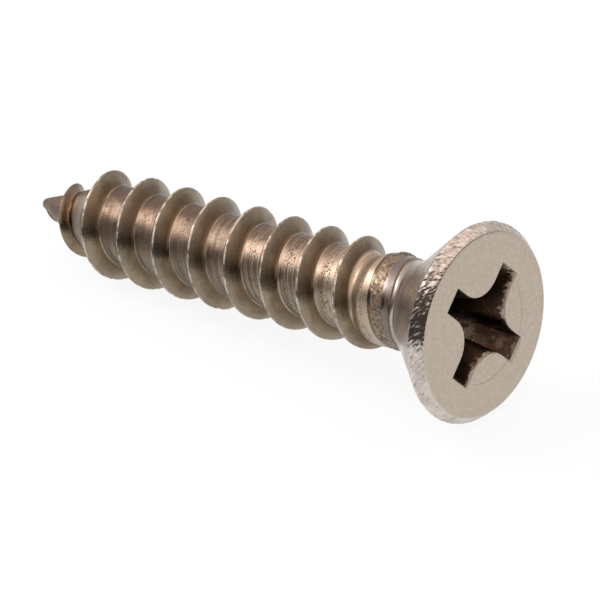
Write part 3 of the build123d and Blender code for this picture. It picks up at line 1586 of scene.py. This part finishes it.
    def _mark_first_turn(
        self, wiring: Wiring, spot: Spot, thread: Thread, surface: Surface
    ) -> None:
        """Darkens the point, and stains the first full turn on one side of its crest.

        Args:
            wiring: the material's nodes.
            spot: where the point is.
            thread: the point's place on the thread.
            surface: the finish, which gains the marks.
        """
        surface.paint(wiring.fit(spot.height, 0.9, 1.9, 0.8, 0.0), self.point)
        low = wiring.within(spot.height, self.first_turn)
        beside = wiring.within(thread.towards_head, self.stain_reach)
        stained = wiring.product(low, beside, wiring.within(spot.turn, self.stain_side))
        surface.paint(wiring.product(stained, 0.75), self.stain)
        facing = wiring.within(spot.turn, self.pale_side)
        bare = wiring.product(low, facing, wiring.fit(thread.reach, 0.50, 0.60))
        surface.paint(wiring.product(bare, 0.7), self.pale)

    def _mark_runout(
        self, wiring: Wiring, spot: Spot, thread: Thread, surface: Surface
    ) -> None:
        """Colours the collar past the thread's end, and pits the band where the thread runs out.

        Args:
            wiring: the material's nodes.
            spot: where the point is.
            thread: the point's place on the thread.
            surface: the finish, which gains the marks.
        """
        past = wiring.fit(thread.towards_head, 0.22, 0.36)
        surface.paint(wiring.product(past, wiring.fit(spot.height, 19.9, 20.5)), self.collar)
        beside = wiring.fall(thread.reach, 0.27, 0.34)
        band = wiring.product(beside, wiring.fit(spot.height, 19.4, 20.2))
        surface.paint(band, self.runout)
        scars = self._effect(wiring, Effect.PITTING, spot.place, Scale=self.scar_scale, Amount=1.0)
        scars = wiring.product(scars, band)
        surface.paint(wiring.product(scars, 0.65), self.pit)
        surface.lift(scars, -self.scar_depth)
        surface.roughen(band, 0.14)

    def _paint_crest_highlight(
        self, wiring: Wiring, spot: Spot, thread: Thread, surface: Surface
    ) -> None:
        """Paints a highlight along the crests, in patches and less on the upper side.

        Args:
            wiring: the material's nodes.
            spot: where the point is.
            thread: the point's place on the thread.
            surface: the finish, which gains the marks.
        """
        wear = wiring.noise(spot.place, self.crest_highlight_patch_size, 2.0)
        # painted highlight along the crest edge, in patches, weaker on the upper side
        edge = wiring.product(
            wiring.fit(thread.share, 0.968, 0.985),
            wiring.fit(wear, 0.38, 0.58, 0.05, 0.85),
            wiring.fit(spot.turn, -0.28, -0.20, 1.0, 0.4),
        )
        surface.paint(edge, self.crest)


@dataclass(frozen=True)
class TurnedSteel(Steel):
    """Struck head: faint lines around the axis, a patchy film and an underside paled by a painted
    floor reflection.
    """

    # pale: colour of the painted floor reflection on the underside
    pale: Colour = (0.62, 0.57, 0.49)
    pale_side: Span = Span(-0.27, -0.17, -0.05, 0.05)
    line_depth: float = 0.003
    line_size: float = 0.05
    line_stretch: float = 10.0
    line_radius: float = 3.0

    def _marks(self, wiring: Wiring, spot: Spot, surface: Surface) -> None:
        """Draws faint lines around the axis and pales the underside with a painted floor
        reflection.

        Args:
            wiring: the material's nodes.
            spot: where the point is.
            surface: the finish, which gains the marks.
        """
        around = wiring.product(spot.turn, FULL_TURN * self.line_radius)
        flow = wiring.vector(around, spot.height, spot.radius)
        scales = {"Scale": 0.4 / self.line_size, "Stretch": self.line_stretch}
        lines = self._effect(wiring, Effect.DRAWN_LINES, flow, **scales)
        # painted reflection of the floor on the underside
        under = wiring.within(spot.turn, self.pale_side)
        surface.paint(wiring.product(under, 0.75), self.pale)
        surface.paint(wiring.product(lines, 0.25), self.film)
        surface.lift(lines, self.line_depth)


@dataclass(frozen=True)
class RimSteel(Steel):
    """Rough rim: bright in painted highlights among its lumps, near black in the scars between, and
    darker on one side as painted shade.
    """

    # near black of the scars, also laid on one side of the rim as painted shade
    scar_and_shade: Colour = (0.04, 0.028, 0.026)
    # painted highlights: pale colour laid among the rim's lumps
    bright: Colour = (0.86, 0.80, 0.75)
    dull: Colour = (0.37, 0.31, 0.29)
    scar_depth: float = 0.013
    scar_size: float = 0.12
    stretch: float = 0.38
    patch_size: float = 0.9
    coarse_turn: float = -0.45
    # side about the axis, as a share of a turn, that gets painted shade
    shaded_side: Span = Span(-0.465, -0.325, -0.295, -0.255)

    def _marks(self, wiring: Wiring, spot: Spot, surface: Surface) -> None:
        """Cuts short slanting scars across the rim, and crowds them on one side as painted shade.

        Args:
            wiring: the material's nodes.
            spot: where the point is.
            surface: the finish, which gains the marks.
        """
        lifted = wiring.product(spot.height, self.stretch)
        around = wiring.product(spot.turn, FULL_TURN * self.placement.sizes.head_radius)
        slant = wiring.calculate("ADD", spot.height, around)
        lumps = wiring.noise(wiring.vector(slant, lifted, spot.radius), self.scar_size, 3.0)
        patch = wiring.noise(spot.place, self.patch_size, 2.0)
        # painted shade: more near-black scar on one side of the rim
        dark = wiring.within(spot.turn, self.shaded_side)
        level = wiring.calculate("MULTIPLY_ADD", patch, 0.12, -0.22)
        level = wiring.calculate("MULTIPLY_ADD", dark, 0.33, level)
        scars = wiring.fit(wiring.calculate("ADD", lumps, level), 0.42, 0.66)
        away = wiring.calculate("SUBTRACT", spot.turn, self.coarse_turn)
        away = wiring.calculate("ABSOLUTE", wiring.calculate("WRAP", away, 0.5, -0.5))
        coarse = wiring.fit(away, 0.17, 0.26, 1.0, 0.35)
        dull = wiring.product(wiring.fit(lumps, 0.40, 0.62, 0.0, 0.6), coarse)
        # painted highlights among the lumps, mostly on the coarse side
        bright = wiring.product(wiring.fit(lumps, 0.34, 0.42, 0.75, 0.0), coarse)
        surface.paint(dull, self.dull)
        surface.paint(bright, self.bright)
        surface.paint(wiring.product(scars, 0.92), self.scar_and_shade)
        surface.lift(wiring.product(lumps, coarse), self.scar_depth)
        surface.roughen(scars, 0.1)


@dataclass(frozen=True)
class RecessSteel(Steel):
    """Punched recess: painted shade in the depth, stain and painted shade on one rubbed wall,
    and a worn mouth with a painted highlight on the lip.
    """

    # painted shade: near black gathered in the depth of the recess
    depth_shade: Colour = (0.035, 0.022, 0.015)
    # pale colour of the wear at the mouth, also used for the painted highlight on the lip
    worn: Colour = (0.84, 0.76, 0.66)
    rubbed: Colour = (0.42, 0.35, 0.28)
    # near black of the stain on one wall, which is also painted shade there
    stain: Colour = (0.055, 0.033, 0.022)
    stain_and_shade_turn: float = 0.13
    stain_bottom: float = 2.2
    stain_full: float = 1.5
    streak_depth: float = 0.004

    def _marks(self, wiring: Wiring, spot: Spot, surface: Surface) -> None:
        """Paints shade in the depth, stains one wall and paints shade on it, wears the mouth and
        paints a highlight on its lip.

        Args:
            wiring: the material's nodes.
            spot: where the point is.
            surface: the finish, which gains the marks.
        """
        top = self.placement.sizes.overall_length
        depth = self.placement.sizes.recess_depth
        drift = wiring.calculate("MULTIPLY_ADD", wiring.noise(spot.place, 0.5), 0.9, spot.height)
        # painted shade, darker towards the floor of the recess
        surface.paint(wiring.fit(drift, top - depth * 0.75, top + 0.1, 0.85, 0.0), self.depth_shade)
        # stain and painted shade: the upper part of one wall is painted near black
        near = wiring.fall(wiring.apart(spot.turn, self.stain_and_shade_turn), 0.06, 0.12)
        high = wiring.fit(spot.height, top - self.stain_bottom, top - self.stain_full)
        patch = wiring.noise(spot.place, 0.3)
        stained = wiring.product(near, high, wiring.fit(patch, 0.35, 0.62, 1.0, 0.7))
        surface.paint(stained, self.stain)
        low = wiring.calculate("SUBTRACT", 1.0, high)
        rubbed = wiring.product(near, low, wiring.fit(patch, 0.36, 0.58, 0.1, 0.9))
        surface.paint(rubbed, self.rubbed)
        drift = wiring.calculate("MULTIPLY_ADD", wiring.noise(spot.place, 0.25), 1.3, spot.height)
        mouth = wiring.fit(drift, top + 0.38, top + 0.62)
        worn = wiring.product(mouth, wiring.fit(near, 0.0, 1.0, 0.9, 0.15))
        # painted highlight: a pale line along the lip of the mouth
        lip = wiring.fit(spot.height, top - 0.085, top - 0.05, 0.0, 0.8)
        surface.paint(wiring.calculate("MAXIMUM", worn, lip), self.worn)
        surface.roughen(worn, 0.2)
        streaks = self._effect(wiring, Effect.DRAWN_LINES, spot.place, Scale=8.0, Stretch=0.5)
        surface.lift(streaks, self.streak_depth)


@dataclass(frozen=True)
class FlatSteel(Steel):
    """Flat of the head: matte, finely mottled, with a hairline ring left by the header."""

    ring_radius: float = 2.58
    ring_width: float = 0.035
    ring_wander: float = 0.22
    ring_side: Span = Span(-0.08, -0.06, 0.31, 0.33)
    ring_depth: float = 0.003
    ring_shade: Colour = (0.30, 0.25, 0.21)

    def _marks(self, wiring: Wiring, spot: Spot, surface: Surface) -> None:
        """Draws the broken ring around the recess.

        Args:
            wiring: the material's nodes.
            spot: where the point is.
            surface: the finish, which gains the marks.
        """
        wander = wiring.noise(spot.place, 2.2, 1.0)
        bent = wiring.calculate("MULTIPLY_ADD", wander, self.ring_wander, spot.radius)
        gap = wiring.apart(bent, self.ring_radius + self.ring_wander / 2)
        line = wiring.fall(gap, self.ring_width * 0.3, self.ring_width)
        ring = wiring.product(line, wiring.within(spot.turn, self.ring_side))
        surface.paint(wiring.product(ring, 0.55), self.ring_shade)
        surface.lift(ring, -self.ring_depth)


def dress(placement: Placement) -> dict[Zone, bpy.types.Material]:
    """Builds the finish of each zone.

    Args:
        placement: where the screw lies.

    Returns:
        A material for each zone.
    """
    effects = Effects({})
    finishes = {
        Zone.THREAD: ThreadSteel(
            placement,
            effects,
            "rolled_steel",
            clean=(0.265, 0.212, 0.14),
            film=(0.175, 0.13, 0.09),
            pit=(0.06, 0.04, 0.03),
            smooth=0.20,
            rough=0.30,
            pit_size=0.075,
            pit_depth=0.005,
        ),
        Zone.NECK: TurnedSteel(
            placement,
            effects,
            "neck_steel",
            clean=(0.47, 0.405, 0.35),
            film=(0.38, 0.315, 0.275),
            pit=(0.12, 0.09, 0.08),
            smooth=0.24,
            rough=0.34,
            pit_amount=0.1,
        ),
        Zone.RIM: RimSteel(
            placement,
            effects,
            "rim_steel",
            clean=(0.66, 0.605, 0.55),
            film=(0.55, 0.49, 0.44),
            pit=(0.14, 0.10, 0.09),
            smooth=0.28,
            rough=0.40,
            pit_amount=0.15,
        ),
        Zone.FLAT: FlatSteel(
            placement,
            effects,
            "flat_steel",
            clean=(0.57, 0.495, 0.415),
            film=(0.52, 0.445, 0.365),
            pit=(0.40, 0.34, 0.28),
            smooth=0.42,
            rough=0.46,
            film_size=0.14,
            grain_size=0.07,
            pit_size=0.09,
            pit_amount=0.15,
            pit_depth=0.002,
            grain_depth=0.001,
        ),
        Zone.RECESS: RecessSteel(
            placement,
            effects,
            "recess_steel",
            clean=(0.40, 0.31, 0.235),
            film=(0.15, 0.095, 0.065),
            pit=(0.04, 0.03, 0.02),
            smooth=0.26,
            rough=0.42,
            film_size=0.6,
            pit_amount=0.2,
        ),
    }
    return {zone: finish.material() for zone, finish in finishes.items()}


@dataclass(frozen=True)
class Lamp:
    """A square soft lamp that faces the screw. Lengths are in metres."""

    name: str
    direction: tuple[float, float, float]
    distance: float
    size: float
    watts: float


@dataclass(frozen=True)
class Studio:
    """Pale floor, soft lamps and the camera. The camera's lengths are in millimetres."""

    placement: Placement
    reach: float = 25.4
    azimuth: float = 40.102
    elevation: float = 27.998
    distance: float = 283.495
    beside: float = -7.898
    above: float = 1.091
    lens: float = 400.99
    sensor: float = 36.0
    nearest: float = 0.01
    lamps: tuple[Lamp, ...] = (
        Lamp("key", (-0.57, -0.35, 0.74), distance=0.30, size=0.15, watts=0.42),
        Lamp("fill", (0.6, -0.7, 0.6), distance=0.35, size=0.20, watts=0.06),
    )
    floor_reach: float = 1.5
    paper_roughness: float = 0.9
    paper_colour: Colour = (0.90, 0.93, 0.95)
    paper_glow: float = 0.9
    wall_light: float = 0.05
    backdrop_light: float = 0.75
    backdrop_edge: float = 0.5
    ceiling_tone: Colour = (1.30, 1.12, 1.02)
    wall_top: float = 0.22
    ceiling_edge: float = 0.88

    def build(self) -> None:
        """Sets up the floor, the lamps, the world and the camera."""
        self._camera()
        self._floor()
        self._world()
        for lamp in self.lamps:
            self._hang(lamp)

    def _look(self) -> tuple[Vector, Vector, Vector]:
        """Works out which way the camera looks.

        Returns:
            The directions that are forward, right and up for it.
        """
        turn = Matrix.Rotation(math.radians(self.azimuth), 3, "Z")
        turn = turn @ Matrix.Rotation(math.radians(90 - self.elevation), 3, "X")
        return turn @ Vector((0, 0, -1)), turn @ Vector((1, 0, 0)), turn @ Vector((0, 1, 0))

    def _camera(self) -> None:
        """Puts the camera at its distance from the head's flat."""
        forward, right, up = self._look()
        aim = self.placement.tip() + self.placement.axis() * self.reach * MILLIMETRE
        place = aim + (right * self.beside + up * self.above - forward * self.distance) * MILLIMETRE
        data = bpy.data.cameras.new("studio_camera")
        data.lens = self.lens
        data.sensor_width = self.sensor
        data.clip_start = self.nearest
        camera = bpy.data.objects.new("studio_camera", data)
        camera.location = place
        tilt = math.radians(90 - self.elevation)
        camera.rotation_euler = (tilt, 0, math.radians(self.azimuth))
        bpy.context.scene.collection.objects.link(camera)
        bpy.context.scene.camera = camera

    def _floor(self) -> None:
        """Lays a pale floor under the screw."""
        mesh = bmesh.new()
        bmesh.ops.create_grid(mesh, x_segments=1, y_segments=1, size=self.floor_reach)
        data = bpy.data.meshes.new("floor")
        mesh.to_mesh(data)
        mesh.free()
        floor = bpy.data.objects.new("floor", data)
        floor.location.z = CAD_BOX[0].z
        data.materials.append(self._paper())
        bpy.context.scene.collection.objects.link(floor)

    def _paper(self) -> bpy.types.Material:
        """Makes white paper that still shows the screw's shadow.

        Returns:
            Its material.
        """
        material = bpy.data.materials.new("floor_paper")
        material.use_nodes = True
        wiring = Wiring(material.node_tree)
        shader = material.node_tree.nodes["Principled BSDF"]
        shader.inputs["Base Color"].default_value = (*self.paper_colour, 1)
        shader.inputs["Roughness"].default_value = self.paper_roughness
        shader.inputs["Specular IOR Level"].default_value = 0.0
        glow = wiring.add("ShaderNodeEmission", None, Color=(1.0, 1.0, 1.0), Strength=1.0)
        rays = wiring.add("ShaderNodeLightPath").outputs
        seen = wiring.calculate("ADD", rays["Is Camera Ray"], rays["Is Glossy Ray"])
        seen = wiring.calculate("ADD", seen, rays["Is Transmission Ray"])
        share = wiring.calculate("MULTIPLY", seen, self.paper_glow)
        mix = wiring.add("ShaderNodeMixShader", None, Fac=share)
        wiring.feed(mix.inputs[1], shader.outputs[0])
        wiring.feed(mix.inputs[2], glow.outputs[0])
        wiring.feed(material.node_tree.nodes["Material Output"].inputs["Surface"], mix.outputs[0])
        return material

    def _world(self) -> None:
        """Lights the room from a bright ceiling above dark walls."""
        world = bpy.data.worlds.new("studio_world")
        world.use_nodes = True
        wiring = Wiring(world.node_tree)
        direction = wiring.add("ShaderNodeTexCoord").outputs["Generated"]
        rise = wiring.add("ShaderNodeSeparateXYZ", None, Vector=direction).outputs[2]
        forward = self._look()[0]
        behind = wiring.add("ShaderNodeVectorMath", {"operation": "DOT_PRODUCT"})
        wiring.feed(behind.inputs[0], direction)
        wiring.feed(behind.inputs[1], (forward.x, forward.y, 0.0))
        lights = (self.wall_light, self.backdrop_light)
        backdrop = wiring.fit(behind.outputs["Value"], 0.0, self.backdrop_edge, *lights)
        walls = wiring.blend(backdrop, (0.0, 0.0, 0.0), (1.0, 1.0, 1.0))
        tone = wiring.blend(
            wiring.fit(rise, self.wall_top, self.ceiling_edge), walls, self.ceiling_tone
        )
        wiring.feed(world.node_tree.nodes["Background"].inputs["Color"], tone)
        bpy.context.scene.world = world

    def _hang(self, lamp: Lamp) -> None:
        """Hangs a lamp.

        Args:
            lamp: its place, size and power.
        """
        data = bpy.data.lights.new(lamp.name, "AREA")
        data.shape = "SQUARE"
        data.size = lamp.size
        data.energy = lamp.watts
        light = bpy.data.objects.new(lamp.name, data)
        away = Vector(lamp.direction).normalized()
        light.location = (CAD_BOX[0] + CAD_BOX[1]) / 2 + away * lamp.distance
        light.rotation_euler = away.to_track_quat("Z", "Y").to_euler()
        bpy.context.scene.collection.objects.link(light)


def main() -> None:
    """Builds the screw and the studio around it."""
    logging.basicConfig(level=logging.INFO, format="%(name)s: %(message)s")
    scene = bpy.context.scene
    scene.view_settings.view_transform = "Standard"
    sizes = ScrewSizes()
    placement = Placement(sizes)
    Screw(sizes, placement).build(dress(placement))
    Studio(placement).build()


if __name__ == "__main__":
    main()
